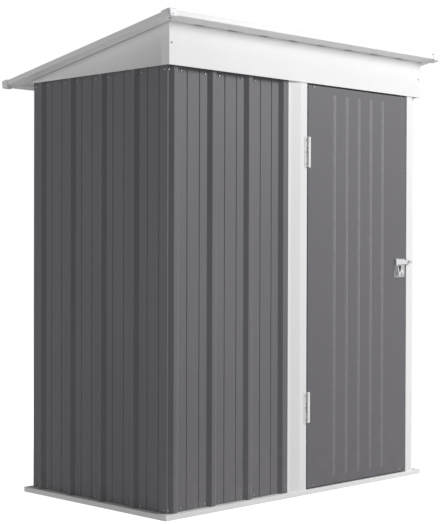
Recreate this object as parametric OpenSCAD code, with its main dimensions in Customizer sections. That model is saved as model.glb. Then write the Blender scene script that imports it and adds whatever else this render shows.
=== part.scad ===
// Small lean-to metal tool shed, in millimetres.
// Ground at z = 0, front towards -Y, centre of the roof's plan at x = 0, y = 0.
// Each wall is worked out flat in its own frame: s runs along the wall,
// d is the distance outwards from the sheet's pans, and z is up.

/* [Base] */
// Width over the base rails
base_w = 1490; // [1200:10:2000]
// Depth over the base rails
base_d = 832; // [680:8:1100]
// Height of a base rail's outer face
base_h = 20; // [14:1:40]
// How far the base rails stand out beyond the wall sheets
base_ledge = 26; // [24:1:40]
// Height of the upstand behind the wall sheets
upstand_h = 24; // [15:1:40]
// Thickness of the rail steel
rail_t = 1.2; // [0.8:0.1:2]

/* [Walls] */
// Height of the bottom edge of the fascia and the gables
wall_h = 1620; // [1350:10:2000]
// Thickness of the wall, roof and door sheets
sheet_t = 0.8; // [0.5:0.1:1.2]
// Depth of a rib
rib_h = 12; // [8:1:14]
// Width of a rib's flat top
rib_top = 17; // [14:1:34]
// Width of each of a rib's sloping flanks
flank_w = 17; // [10:1:18]
// Pitch that the ribs are set out to before they are evened up
rib_pitch = 185; // [150:5:240]
// Depth of the grooves in the pans
groove_h = 3; // [2:0.5:4]
// Distance of each groove from the middle of its pan
groove_off = 31; // [20:1:40]
// Distance from a corner to the first rib of the front, back and roof sheets
rib_edge = 31; // [28:1:45]
// Distance from the front corner to the first rib of a side wall
side_rib_front = 175; // [90:5:190]
// Distance from the back corner to the last rib of a side wall
side_rib_back = 55; // [45:5:90]
// Width of the side sheets' corner flanges
corner_flange = 15; // [10:1:25]

/* [Top rails] */
// Height of a top rail's upright leg
top_rail_h = 35; // [25:1:50]
// Width of a top rail's level leg
top_rail_w = 30; // [20:1:45]

/* [Door] */
// Width of the door
door_w = 628; // [520:2:700]
// Gap between the door and its frame
door_gap = 5; // [5:0.5:8]
// Gap under the door's bottom edge
door_gap_low = 5; // [5:1:12]
// Gap over the door's top edge
door_gap_high = 6; // [5:1:12]
// Distance of the door's outer face from the wall's pans
door_d = 20; // [18:1:24]
// Thickness of the door
door_t = 14; // [12:1:18]
// Width of the door's stiles and rails
door_frame_w = 30; // [20:1:45]
// Number of raised beads on the door
bead_count = 5; // [1:1:7]
// Pitch of the beads
bead_pitch = 77; // [50:1:80]
// Width of a bead at its foot
bead_w = 11; // [8:1:16]
// Height of a bead
bead_h = 1.5; // [1:0.1:3]
// Distance of a bead's ends from the door's edges
bead_end = 30; // [20:1:60]

/* [Door frame] */
// Width of the frame piece on the hinge side
jamb_left_w = 102; // [96:1:130]
// Width of the frame piece on the lock side
jamb_right_w = 72; // [68:1:90]
// Width of the face that the hinges sit on
jamb_face = 39; // [34:1:48]
// Width of the flat face on the lock side
lock_face = 38; // [34:1:44]
// Width of the flange that laps the front sheet
jamb_lap = 15; // [10:1:20]
// Width of the stops behind the door
stop_w = 15; // [12:1:25]

/* [Hinges] */
// Height of a hinge
hinge_h = 120; // [80:5:160]
// Height of the lower hinge's foot above the ground
hinge_low = 284; // [200:5:400]
// Distance from the top of the door to the upper hinge's top
hinge_high = 205; // [150:5:300]
// Width of a hinge leaf
leaf_w = 17; // [14:1:22]
// Thickness of a hinge leaf
leaf_t = 1.5; // [1:0.1:2]
// Radius of the knuckles
knuckle_r = 4.5; // [4:0.1:5]
// Radius of the hinge pins
pin_r = 2; // [1.5:0.1:2.5]
// Radial clearance of a pin in its bore
pin_clear = 0.05; // [0.03:0.01:0.09]

/* [Latch] */
// Height of the middle of the hasp above the ground
hasp_z = 914; // [800:2:1050]
// Width of the latch plate
latch_w = 70; // [60:1:80]
// Height of the latch plate
latch_h = 78; // [70:1:90]
// Distance of the latch plate from the door's free edge
latch_edge = 7; // [6:1:12]
// Thickness of the latch plate
latch_t = 1.2; // [1:0.1:2]
// Height of the hasp strap
strap_h = 20; // [18:1:26]
// Thickness of the hasp strap
strap_t = 2; // [1.5:0.1:2.5]
// Distance from the door's edge of the staple's middle
staple_x = 15; // [13:1:18]
// How far the staple stands out from the frame
staple_out = 22; // [20:1:26]
// Height of the staple's tongue
staple_h = 11; // [10:1:12]
// Thickness of the staple's tongue
staple_t = 3; // [2:0.5:4]
// Radius of the padlock hole
eye_r = 3.5; // [3:0.1:3.7]

/* [Roof] */
// Slope of the roof in degrees
roof_slope = 10; // [7:0.1:12]
// Height of the gables' outer faces at the back wall
gable_back_h = 9.4; // [6:0.1:60]
// Distance of the fascia's outer face from the wall's pans
fascia_d = 25; // [24:1:30]
// Depth of the roof's overhang in front of the wall
roof_front = 85; // [70:1:110]
// Depth of the roof's overhang behind the wall
roof_back = 117; // [70:1:160]
// Width of the roof's overhang at each side
roof_side = 70; // [62:1:110]
// Height of the roof's edge trim
trim_h = 20; // [18:1:30]
// Gap between the trim's lower lip and the nearest gable or fascia
lip_gap = 3; // [2:1:20]
// Width of the trim's upper lip
trim_up = 12; // [8:1:20]
// Thickness of the trim and the fascia
trim_t = 1; // [0.8:0.1:1.2]
// Height of a roof beam
beam_h = 28; // [20:1:40]
// Width of a roof beam
beam_w = 30; // [20:1:45]
// Length of each leg of a corner cap
cap_leg = 40; // [30:1:60]
// Wall thickness of a corner cap
cap_t = 2; // [1.5:0.1:3]
// Thickness of a corner cap above and below the trim
cap_over = 4.5; // [2:0.5:6]
// Outer radius of a corner cap
cap_r = 10; // [6:1:12]

/* [Hidden] */
$fn = 48;

// Clearances
rail_gap = 0.1;      // between a groove's back and the rail behind it
seat_gap = 0.2;      // between pieces that are screwed together through their flats
end_gap = 0.3;       // at the ends of pieces that slip between two others
knuckle_gap = 0.5;   // between the knuckles of one hinge
sheet_seat = 0.05;   // between the roof sheets and what carries them
strap_clear = 2.5;   // between the staple and the hasp's slot
hasp_gap = 0.3;      // between the hasp's barrel and the latch plate
hem_gap = 0.5;       // between the fascia's hem and the face of the door frame
notch_gap = 1;       // on each side of a roof beam in its notch
fold_play = 2;       // between the front sheet's edge and the fold of the frame that laps it
lap_edge = 1;        // from the fold of a lapped rib to the lower sheet's edge
sheet_play = 4;      // between the trim's web and the roof sheets' edges
eps = 0.01;          // overlap of shapes that are joined, or of a cut and the face it starts at
over = 1;            // how far a cutting shape runs past what it cuts

// Walls
wall_w = base_w - 2 * base_ledge;
wall_d = base_d - 2 * base_ledge;
rail_d = -(groove_h + sheet_t + rail_gap);   // outer face of the rails behind the sheets
sheet_z = base_h;                            // the sheets stand on the base rails' ledge
sheet_lap = 4;                               // part of the sheets behind the gables and fascia
sheet_top = wall_h + sheet_lap;
rail_drop = 1;                               // of the top rails below the sheets' top edge
top_rail_z = sheet_top - rail_drop;

// Roof, from its slope and overhangs; the fascia rises above the gables by the roof's fall
fascia_h = gable_back_h + (wall_d + fascia_d) * tan(roof_slope);
roof_w = wall_w + 2 * roof_side;
roof_l = (roof_front + wall_d + roof_back) / cos(roof_slope);
wall_front = -(roof_l * cos(roof_slope) + trim_h * sin(roof_slope)) / 2 + roof_front;
wall_back = wall_front + wall_d;
soffit_mid = soffit_z(wall_front, 0);
under_sheet = trim_t - sheet_seat;           // top of the gables, fascia and beams
sheet_inset = trim_t + sheet_play;           // from the trim's face to the roof sheets' edges

// Gables and fascia
gable_in = rib_h + seat_gap;
gable_out = gable_in + rail_t;
return_out = gable_out + seat_gap + trim_t;
gable_front = fascia_d - trim_t - end_gap;
fascia_hem = fascia_d - door_d - hem_gap;
fascia_return = 40;
fascia_flange = 20;
gable_flange = 20;
trim_low = min(roof_side - return_out, roof_front - fascia_d) - lip_gap;

// Door opening, measured along the front wall from its left corner
door_right = wall_w - jamb_right_w - door_gap;
door_left = door_right - door_w;
jamb_left_edge = door_left - door_gap;
jamb_left_start = jamb_left_edge - jamb_left_w;
front_panel_w = jamb_left_start + jamb_lap - fold_play;
front_flat = 25;                             // flat that shows between the last flank and the frame
door_z = base_h + door_gap_low;
door_top = wall_h - door_gap_high;
door_h = door_top - door_z;
jamb_top = sheet_top;

// Hinges
hinge_s = door_left - door_gap / 2;
hinge_d = door_d + knuckle_r;
hinge_upper_z = door_top - hinge_high - hinge_h;

// Latch: the hasp turns about an upright pin and drops over the staple
latch_right = door_right - latch_edge;
latch_left = latch_right - latch_w;
plate_margin = 4;                            // of the plates above and below the strap
latch_low = hasp_z + strap_h / 2 + plate_margin - latch_h;
lug_r = 4;
lug_h = 5;
lug_pin_r = 1.5;
lug_inset = 3;                               // from the plate's edge to the lugs
barrel_r = 3.5;                              // the strap's barrel between the lugs
hasp_s = latch_left + lug_inset + lug_r;
hasp_d = door_d + latch_t + lug_r + hasp_gap;
staple_s = door_right + staple_x;
staple_tip = door_d + staple_out;
slot_in = staple_s - staple_t / 2 - strap_clear - hasp_s;
slot_reach = staple_s + staple_t / 2 + strap_clear - hasp_s;
slot_rise = staple_tip - hasp_d + strap_t / 2;
slot_out = sqrt(slot_reach * slot_reach + slot_rise * slot_rise);
slot_play = 2;                               // above and below the staple in its slot
slot_h = staple_h + 2 * slot_play;
strap_tip = 6;                               // of the strap past its slot
strap_end = slot_out + strap_tip;
staple_plate_w = 14;
eye_edge = 2;                                // metal between the padlock hole and the staple's tip
pull_out = 12;
pull_s = latch_left + 22;                    // middle of the tapered pull
pull_top = hasp_z - strap_h / 2 - 3;
pull_low = latch_low + 8;
pull_top_w = 30;
pull_low_w = 10;
lock_r = 7;
lock_out = 6;
lock_s = latch_right - 18;
lock_z = latch_low + 20;
keyway_w = 8;
keyway_h = 1.5;
keyway_deep = 2;

// ---------- shared helpers ----------

// Height of a roof plane where it crosses the distance d in front of the front wall;
// w is the plane's distance above the underside of the trim.
function soffit_z(d, w) =
    wall_h + fascia_h + (d - fascia_d) * tan(roof_slope) + w / cos(roof_slope);

// Distance down the slope, in the roof's frame, of the point of the soffit over y
function roof_u(y) = y / cos(roof_slope) + trim_h / 2 * tan(roof_slope);

// Outer face of one rib, one groove, and one rib with the pan that follows it
function rib_pts(c) = [[c - rib_top / 2 - flank_w, 0], [c - rib_top / 2, rib_h],
                       [c + rib_top / 2, rib_h], [c + rib_top / 2 + flank_w, 0]];
function groove_pts(c, h) = [[c - groove_h, 0], [c, h], [c + groove_h, 0]];
function pan_pts(c, h) = concat(groove_pts(c - groove_off, h), groove_pts(c + groove_off, h));
function bay_pts(c, pitch, h) = concat(rib_pts(c), pan_pts(c + pitch / 2, h));

// Where one sheet laps the next, on top of a rib: the lower sheet stops on the rib's flat
// and the upper one starts there, one thickness further out.
function lap_under(c) = [[c - rib_top / 2 - flank_w, 0], [c - rib_top / 2, rib_h],
                         [c + rib_top / 2 - lap_edge, rib_h]];
function lap_over(c) = [[c - rib_top / 2, rib_h + sheet_t], [c + rib_top / 2, rib_h + sheet_t],
                        [c + rib_top / 2 + flank_w * (rib_h + sheet_t) / rib_h, 0]];

// A whole number of bays between the first and last rib, near the set-out pitch
function bays(run, group) = group * max(1, round(run / rib_pitch / group));

// Inner face of a sheet, from the outline of its outer face, back to front
function inner_pts(face) = [for (i = [len(face) - 1 : -1 : 0]) face[i] - [0, sheet_t]];
function sheet_pts(face) = concat(face, inner_pts(face));

// One sheet of a lapped run: ribs a to b of a run that starts at rib 0 and ends at rib last
function run_face(first, pitch, a, b, last, width, h) = concat(
    a == 0 ? concat([[0, 0]], rib_pts(first)) : lap_over(first + a * pitch),
    pan_pts(first + (a + 0.5) * pitch, h),
    [for (i = [a + 1 : 1 : b - 1]) each bay_pts(first + i * pitch, pitch, h)],
    b == last ? concat(rib_pts(first + b * pitch), [[width, 0]]) : lap_under(first + b * pitch));

// Frames of the four walls
module on_front() translate([-wall_w / 2, wall_front, 0]) mirror([0, 1, 0]) children();
module on_back() translate([-wall_w / 2, wall_back, 0]) children();
module on_left() translate([-wall_w / 2, wall_front, 0]) rotate([0, 0, 90]) children();
module on_right() mirror([1, 0, 0]) on_left() children();

// Frame of the roof: x across, y down the slope, z up from the underside of the trim
module on_roof() translate([0, 0, soffit_mid]) rotate([-roof_slope, 0, 0])
    translate([0, -trim_h / 2 * tan(roof_slope), 0]) children();

// Extrude an outline drawn in [outwards, up] along the wall
module along(length) rotate([90, 0, 90]) linear_extrude(height = length) children();

// Plate drawn in [along, up], with its outer face at the distance d
module plate_at(d, thickness) translate([0, d, 0]) rotate([90, 0, 0])
    linear_extrude(height = thickness) children();

// Cut both ends of a rail at 45 degrees, from its outer edge at the distance d
module mitred(length, d, reach, z, h) {
    intersection() {
        children();
        translate([0, 0, z])
            linear_extrude(height = h)
                polygon([[-d, d], [length + d, d], [length - reach, -reach], [reach, -reach]]);
    }
}

// ---------- base and top rails ----------

module base_rail(length) {
    foot = 4;                                // part of the foot behind the wall's pans
    reach = max(foot, rail_t - rail_d) + over;
    color("white")
        mitred(length, base_ledge, reach, -over, base_h + upstand_h + 2 * over)
            translate([-base_ledge, 0, 0])
                along(length + 2 * base_ledge)
                    polygon([[-foot, 0], [base_ledge, 0], [base_ledge, base_h], [rail_d, base_h],
                             [rail_d, base_h + upstand_h], [rail_d - rail_t, base_h + upstand_h],
                             [rail_d - rail_t, base_h - rail_t],
                             [base_ledge - rail_t, base_h - rail_t],
                             [base_ledge - rail_t, rail_t], [-foot, rail_t]]);
}

module top_rail(length) {
    inner = rail_d - top_rail_w;
    color("gainsboro")
        mitred(length, rail_d, -inner, top_rail_z - top_rail_h - over, top_rail_h + 2 * over)
            along(length)
                polygon([[rail_d, top_rail_z - top_rail_h], [rail_d, top_rail_z],
                         [inner, top_rail_z], [inner, top_rail_z - rail_t],
                         [rail_d - rail_t, top_rail_z - rail_t],
                         [rail_d - rail_t, top_rail_z - top_rail_h]]);
}

// ---------- wall sheets ----------

module wall_sheet(face) {
    color("dimgray")
        translate([0, 0, sheet_z])
            linear_extrude(height = sheet_top - sheet_z)
                polygon(sheet_pts(face));
}

module front_panel() {
    flat = front_panel_w - jamb_lap - front_flat;
    n = bays(flat + rib_top / 2 - rib_edge, 1);
    pitch = (flat + rib_top / 2 - rib_edge) / n;
    wall_sheet(concat([[0, 0]],
                      [for (i = [0 : n - 1]) each bay_pts(rib_edge + i * pitch, pitch, -groove_h)],
                      [[flat - flank_w, 0], [flat, rib_h], [front_panel_w, rib_h]]));
}

// A side sheet has a narrow flange turned in behind the front and back sheets
module side_wall() {
    n = bays(wall_d - side_rib_front - side_rib_back, 1);
    pitch = (wall_d - side_rib_front - side_rib_back) / n;
    corner_pan = (side_rib_front - rib_top / 2 - flank_w) / 2;
    face = concat(pan_pts(corner_pan, -groove_h),
                  [for (i = [0 : n - 1])
                      each bay_pts(side_rib_front + i * pitch, pitch, -groove_h)],
                  rib_pts(wall_d - side_rib_back));
    a = sheet_t;
    b = wall_d - sheet_t;
    color("dimgray")
        translate([0, 0, sheet_z])
            linear_extrude(height = sheet_top - sheet_z)
                polygon(concat([[a, -corner_flange], [a, 0]], face, [[b, 0], [b, -corner_flange],
                                [b - sheet_t, -corner_flange], [b - sheet_t, -sheet_t]],
                               inner_pts(face),
                               [[a + sheet_t, -sheet_t], [a + sheet_t, -corner_flange]]));
}

module back_wall(part) {
    run = wall_w - 2 * rib_edge;
    n = bays(run, 2);
    a = part == 0 ? 0 : n / 2;
    wall_sheet(run_face(rib_edge, run / n, a, a + n / 2, n, wall_w, -groove_h));
}

// ---------- gables and fascia ----------

module gable() {
    start = -(fascia_d - trim_t - fascia_flange - end_gap);
    low = under_sheet - rail_t;
    notch_w = beam_w + 2 * notch_gap;
    color("whitesmoke") {
        plate_at(gable_out, rail_t)
            polygon([[-gable_front, wall_h], [wall_d, wall_h],
                     [wall_d, soffit_z(-wall_d, under_sheet)],
                     [-gable_front, soffit_z(gable_front, under_sheet)]]);
        difference() {
            plate_at(gable_in, gable_flange)
                polygon([[start, soffit_z(-start, low)], [wall_d, soffit_z(-wall_d, low)],
                         [wall_d, soffit_z(-wall_d, under_sheet)],
                         [start, soffit_z(-start, under_sheet)]]);
            for (y = beam_places)
                translate([y - wall_front - notch_w / 2, gable_in - gable_flange - over, wall_h])
                    cube([notch_w, gable_flange + over, fascia_h]);
        }
    }
}

module front_fascia() {
    face_in = fascia_d - trim_t;
    flange_in = face_in - fascia_flange;
    back = fascia_d - fascia_return;
    color("white")
        union() {
            // face, as wide as the returns
            translate([-return_out, 0, 0])
                along(wall_w + 2 * return_out)
                    polygon([[face_in, wall_h], [fascia_d, wall_h],
                             [fascia_d, soffit_z(fascia_d, under_sheet)],
                             [face_in, soffit_z(face_in, under_sheet)]]);
            // hem and top flange, between the gables
            translate([-gable_in + end_gap, 0, 0])
                along(wall_w + 2 * gable_in - 2 * end_gap) {
                    translate([fascia_d - fascia_hem, wall_h])
                        square([fascia_hem - trim_t, trim_t]);
                    polygon([[face_in, soffit_z(face_in, under_sheet - trim_t)],
                             [face_in, soffit_z(face_in, under_sheet)],
                             [flange_in, soffit_z(flange_in, under_sheet)],
                             [flange_in, soffit_z(flange_in, under_sheet - trim_t)]]);
                }
            // returns over the gables
            for (s = [-return_out, wall_w + return_out - trim_t])
                translate([s, 0, 0])
                    along(trim_t)
                        polygon([[fascia_d, wall_h], [fascia_d, soffit_z(fascia_d, under_sheet)],
                                 [back, soffit_z(back, under_sheet)], [back, wall_h]]);
        }
}

// ---------- door frame ----------

// Thin folded piece that stands on the base rail and runs up behind the fascia
module frame_piece(face) {
    color("white")
        translate([0, 0, sheet_z])
            linear_extrude(height = jamb_top - sheet_z)
                polygon(face);
}

module door_jamb_left() {
    a = jamb_left_start;
    b = jamb_left_edge;
    low = rib_h + sheet_t;
    back = rail_d + rail_gap;
    on_front()
        frame_piece([[a, low], [a + jamb_lap, low], [b - jamb_face, door_d], [b, door_d],
                     [b, back + sheet_t], [b + stop_w, back + sheet_t], [b + stop_w, back],
                     [b - sheet_t, back], [b - sheet_t, door_d - sheet_t],
                     [b - jamb_face, door_d - sheet_t], [a + jamb_lap, rib_h], [a, rib_h]]);
}

module door_jamb_right() {
    a = wall_w - jamb_right_w;
    b = a + lock_face;
    back = rail_d + rail_gap;
    on_front()
        frame_piece([[wall_w, 0], [b + door_d, 0], [b, door_d], [a, door_d],
                     [a, back + sheet_t], [a - stop_w, back + sheet_t], [a - stop_w, back],
                     [a + sheet_t, back], [a + sheet_t, door_d - sheet_t],
                     [b, door_d - sheet_t], [b + door_d, -sheet_t], [wall_w, -sheet_t]]);
}

// ---------- door ----------

module bead_shape(c) {
    foot = bead_w / 2;
    polygon([[c - foot, -eps], [c - foot, 0], [c - foot + bead_h, bead_h],
             [c + foot - bead_h, bead_h], [c + foot, 0], [c + foot, -eps]]);
}

module door_beads(d) {
    middle = (door_left + door_right) / 2;
    for (i = [0 : bead_count - 1])
        translate([0, d, door_z + bead_end])
            linear_extrude(height = door_h - 2 * bead_end)
                bead_shape(middle + (i - (bead_count - 1) / 2) * bead_pitch);
}

// Tray of sheet steel, open at the back, with pressed beads
module door_panel() {
    color("slategray")
        on_front()
            difference() {
                union() {
                    translate([door_left, door_d - door_t, door_z])
                        cube([door_w, door_t, door_h]);
                    door_beads(door_d);
                }
                translate([door_left + sheet_t, door_d - door_t - over, door_z + sheet_t])
                    cube([door_w - 2 * sheet_t, door_t - sheet_t + over, door_h - 2 * sheet_t]);
                door_beads(door_d - sheet_t);
            }
}

// Channel outline with its web at the back of the door and its legs against the door's sheet
module channel_shape(width) {
    back = door_d - door_t;
    polygon([[0, back], [width, back], [width, door_d - sheet_t],
             [width - rail_t, door_d - sheet_t], [width - rail_t, back + rail_t],
             [rail_t, back + rail_t], [rail_t, door_d - sheet_t], [0, door_d - sheet_t]]);
}

module door_stile(s) {
    color("gray")
        on_front()
            translate([s, 0, door_z + sheet_t])
                linear_extrude(height = door_h - 2 * sheet_t)
                    channel_shape(door_frame_w);
}

module door_rail(z) {
    inset = sheet_t + door_frame_w;
    color("gray")
        on_front()
            translate([door_left + inset, 0, z + door_frame_w])
                rotate([0, 90, 0])
                    linear_extrude(height = door_w - 2 * inset)
                        channel_shape(door_frame_w);
}

// ---------- hinges ----------

// Upright cylinder on the hinge line, from z to z + h
module on_hinge_line(z, h, r) translate([hinge_s, hinge_d, z]) cylinder(h = h, r = r);

// Leaf from its outer edge to the knuckle; side is -1 on the frame and 1 on the door
module hinge_leaf(z, side, knuckles) {
    inner = knuckle_r + knuckle_gap;
    translate([side < 0 ? hinge_s - leaf_w : hinge_s + inner, door_d, z])
        cube([leaf_w - inner, leaf_t, hinge_h]);
    for (k = knuckles) {
        translate([side < 0 ? hinge_s - inner - eps : hinge_s, door_d, z + k[0]])
            cube([inner + eps, leaf_t, k[1] - k[0]]);
        on_hinge_line(z + k[0], k[1] - k[0], knuckle_r);
    }
}

// The frame's leaf has the end knuckles and holds the pin
module jamb_leaf(z) {
    third = hinge_h / 3;
    color("white")
        on_front() {
            hinge_leaf(z, -1, [[0, third], [2 * third, hinge_h]]);
            on_hinge_line(z, hinge_h, pin_r);
        }
}

module door_leaf(z) {
    third = hinge_h / 3;
    color("white")
        on_front()
            difference() {
                hinge_leaf(z, 1, [[third + knuckle_gap, 2 * third - knuckle_gap]]);
                on_hinge_line(z, hinge_h, pin_r + pin_clear);
            }
}

// ---------- latch ----------

module on_hasp_line(z, h, r) translate([hasp_s, hasp_d, z]) cylinder(h = h, r = r);

// Plate on the door with a tapered pull, a lock barrel and the hasp's two lugs
module latch_plate() {
    lug_gap = strap_h / 2 + knuckle_gap;
    color("silver")
        on_front()
            difference() {
                union() {
                    translate([latch_left, door_d, latch_low])
                        cube([latch_w, latch_t, latch_h]);
                    plate_at(door_d + latch_t + pull_out, pull_out + eps)
                        polygon([[pull_s - pull_top_w / 2, pull_top],
                                 [pull_s + pull_top_w / 2, pull_top],
                                 [pull_s + pull_low_w / 2, pull_low],
                                 [pull_s - pull_low_w / 2, pull_low]]);
                    translate([lock_s, door_d, lock_z])
                        rotate([-90, 0, 0])
                            cylinder(h = latch_t + lock_out, r = lock_r);
                    for (z = [hasp_z - lug_gap - lug_h, hasp_z + lug_gap]) {
                        on_hasp_line(z, lug_h, lug_r);
                        translate([hasp_s - lug_r, door_d, z])
                            cube([2 * lug_r, hasp_d - door_d, lug_h]);
                    }
                    on_hasp_line(hasp_z - lug_gap - eps, 2 * lug_gap + 2 * eps, lug_pin_r);
                }
                translate([lock_s - keyway_w / 2, door_d + latch_t + lock_out - keyway_deep,
                           lock_z - keyway_h / 2])
                    cube([keyway_w, keyway_deep + over, keyway_h]);
            }
}

// Strap with a slot that drops over the staple, turning about the lugs' pin
module hasp_strap() {
    z0 = hasp_z - strap_h / 2;
    color("silver")
        on_front()
            difference() {
                union() {
                    on_hasp_line(z0, strap_h, barrel_r);
                    translate([hasp_s, hasp_d - strap_t / 2, z0])
                        cube([strap_end, strap_t, strap_h]);
                }
                on_hasp_line(z0 - over, strap_h + 2 * over, lug_pin_r + pin_clear);
                translate([hasp_s + slot_in, hasp_d - strap_t, hasp_z - slot_h / 2])
                    cube([slot_out - slot_in, 2 * strap_t, slot_h]);
            }
}

// Tongue on the frame with the padlock hole
module latch_staple() {
    plate_h = strap_h + 2 * plate_margin;
    color("silver")
        on_front()
            difference() {
                union() {
                    translate([staple_s - staple_plate_w / 2, door_d, hasp_z - plate_h / 2])
                        cube([staple_plate_w, latch_t, plate_h]);
                    translate([staple_s - staple_t / 2, door_d, hasp_z - staple_h / 2])
                        cube([staple_t, staple_out, staple_h]);
                }
                translate([staple_s - staple_t, staple_tip - eye_r - eye_edge, hasp_z])
                    rotate([0, 90, 0])
                        cylinder(h = 2 * staple_t, r = eye_r);
            }
}

// ---------- roof ----------

beam_places = [wall_front + wall_d / 3, wall_front + wall_d * 2 / 3];

// Beam under the sheets, from gable to gable, hung in the notches of the gables' flanges
module roof_beam(y) {
    length = wall_w + 2 * gable_in - 2 * end_gap;
    color("gainsboro")
        on_roof()
            translate([-length / 2, roof_u(y) - beam_w / 2, under_sheet - beam_h])
                along(length)
                    polygon([[0, 0], [rail_t, 0], [rail_t, beam_h - rail_t],
                             [beam_w - rail_t, beam_h - rail_t], [beam_w - rail_t, 0],
                             [beam_w, 0], [beam_w, beam_h], [0, beam_h]]);
}

// Three ribbed sheets that lap on a rib, with their ribs running down the slope
module roof_sheet(part) {
    width = roof_w - 2 * sheet_inset;
    run = width - 2 * rib_edge;
    n = bays(run, 3);
    a = part * n / 3;
    color("lightgray")
        on_roof()
            translate([-width / 2, roof_l / 2 - sheet_inset, trim_t + sheet_t])
                rotate([90, 0, 0])
                    linear_extrude(height = roof_l - 2 * sheet_inset)
                        polygon(sheet_pts(run_face(rib_edge, run / n, a, a + n / 3, n,
                                                   width, groove_h)));
}

// Channel trim along one edge, mitred to its neighbours and cut back for the round cap
module roof_trim(length) {
    cut = cap_r - cap_t;
    color("white")
        intersection() {
            along(length)
                polygon([[0, 0], [trim_low, 0], [trim_low, trim_t], [trim_t, trim_t],
                         [trim_t, trim_h - trim_t], [trim_up, trim_h - trim_t],
                         [trim_up, trim_h], [0, trim_h]]);
            translate([0, 0, -over])
                linear_extrude(height = trim_h + 2 * over)
                    polygon([[cut, -over], [length - cut, -over], [length - cut, cut],
                             [length - trim_low - over, trim_low + over],
                             [trim_low + over, trim_low + over], [cut, cut]]);
        }
}

// L-shaped plan of a cap whose outer corner is grown by t from the trim's corner
module cap_plan(t, reach) {
    r = cap_r - cap_t + t;
    difference() {
        union() {
            translate([cap_r - cap_t, cap_r - cap_t])
                circle(r = r);
            translate([-t, cap_r - cap_t])
                square([cap_leg, cap_leg - cap_r + cap_t]);
            translate([cap_r - cap_t, -t])
                square([cap_leg - cap_r + cap_t, cap_leg]);
        }
        translate([reach, reach])
            square(cap_leg + over);
    }
}

// Moulded corner cap, open towards the roof so that it slips over both trims
module corner_cap() {
    color("white")
        difference() {
            translate([0, 0, -cap_over])
                linear_extrude(height = trim_h + 2 * cap_over)
                    intersection() {
                        cap_plan(cap_t, trim_up + cap_t);
                        translate([-cap_t, -cap_t])
                            square(cap_leg);
                    }
            linear_extrude(height = trim_h)
                union() {
                    translate([cap_r - cap_t, cap_r - cap_t])
                        circle(r = cap_r - cap_t);
                    translate([0, cap_r - cap_t])
                        square(2 * cap_leg);
                    translate([cap_r - cap_t, 0])
                        square(2 * cap_leg);
                }
        }
}

module front_edge() on_roof() translate([-roof_w / 2, -roof_l / 2, 0]) children();
module back_edge() on_roof() translate([roof_w / 2, roof_l / 2, 0]) rotate([0, 0, 180]) children();
module left_edge() on_roof() translate([-roof_w / 2, roof_l / 2, 0]) rotate([0, 0, -90]) children();
module right_edge() on_roof() translate([roof_w / 2, -roof_l / 2, 0]) rotate([0, 0, 90]) children();

// ---------- nodes ----------

on_front() base_rail(wall_w);  // base_rail_front
on_back() base_rail(wall_w);  // base_rail_back
on_left() base_rail(wall_d);  // base_rail_left
on_right() base_rail(wall_d);  // base_rail_right
on_front() front_panel();
on_left() side_wall();  // left_wall
on_right() side_wall();  // right_wall
on_back() back_wall(0);  // back_wall_left
on_back() back_wall(1);  // back_wall_right
on_front() top_rail(wall_w);  // top_rail_front
on_back() top_rail(wall_w);  // top_rail_back
on_left() top_rail(wall_d);  // top_rail_left
on_right() top_rail(wall_d);  // top_rail_right
on_left() gable();  // gable_left
on_right() gable();  // gable_right
on_front() front_fascia();
door_jamb_left();
door_jamb_right();
door_panel();
door_stile(door_left + sheet_t);  // door_stile_left
door_stile(door_right - sheet_t - door_frame_w);  // door_stile_right
door_rail(door_top - sheet_t - door_frame_w);  // door_rail_top
door_rail(door_z + sheet_t);  // door_rail_bottom
jamb_leaf(hinge_upper_z);  // hinge_upper_jamb_leaf
door_leaf(hinge_upper_z);  // hinge_upper_door_leaf
jamb_leaf(hinge_low);  // hinge_lower_jamb_leaf
door_leaf(hinge_low);  // hinge_lower_door_leaf
latch_plate();
hasp_strap();
latch_staple();
roof_beam(beam_places[0]);  // roof_beam_front
roof_beam(beam_places[1]);  // roof_beam_rear
roof_sheet(0);  // roof_sheet_left
roof_sheet(1);  // roof_sheet_middle
roof_sheet(2);  // roof_sheet_right
front_edge() roof_trim(roof_w);  // roof_trim_front
back_edge() roof_trim(roof_w);  // roof_trim_back
left_edge() roof_trim(roof_l);  // roof_trim_left
right_edge() roof_trim(roof_l);  // roof_trim_right
front_edge() corner_cap();  // corner_cap_front_left
right_edge() corner_cap();  // corner_cap_front_right
left_edge() corner_cap();  // corner_cap_back_left
back_edge() corner_cap();  // corner_cap_back_right
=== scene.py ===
# %% [markdown]
# # A small lean-to tool shed in painted sheet steel
#
# A shed like this comes flat in a box: ribbed sheets, folded channels, a bag of screws.
# Everything in it is thin steel bent along straight lines, so nearly every piece can be
# described by one section, the shape that shows if it is sawn across, and a length.
# The exact construction is already there as solids with sharp corners. This lesson keeps
# each of them where it is and gives it what the solids leave out: the small radius of
# every fold, the screws, the paint, the zinc, the dust and the light.

import math

import bmesh
import bpy
from mathutils import Matrix, Vector


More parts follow.
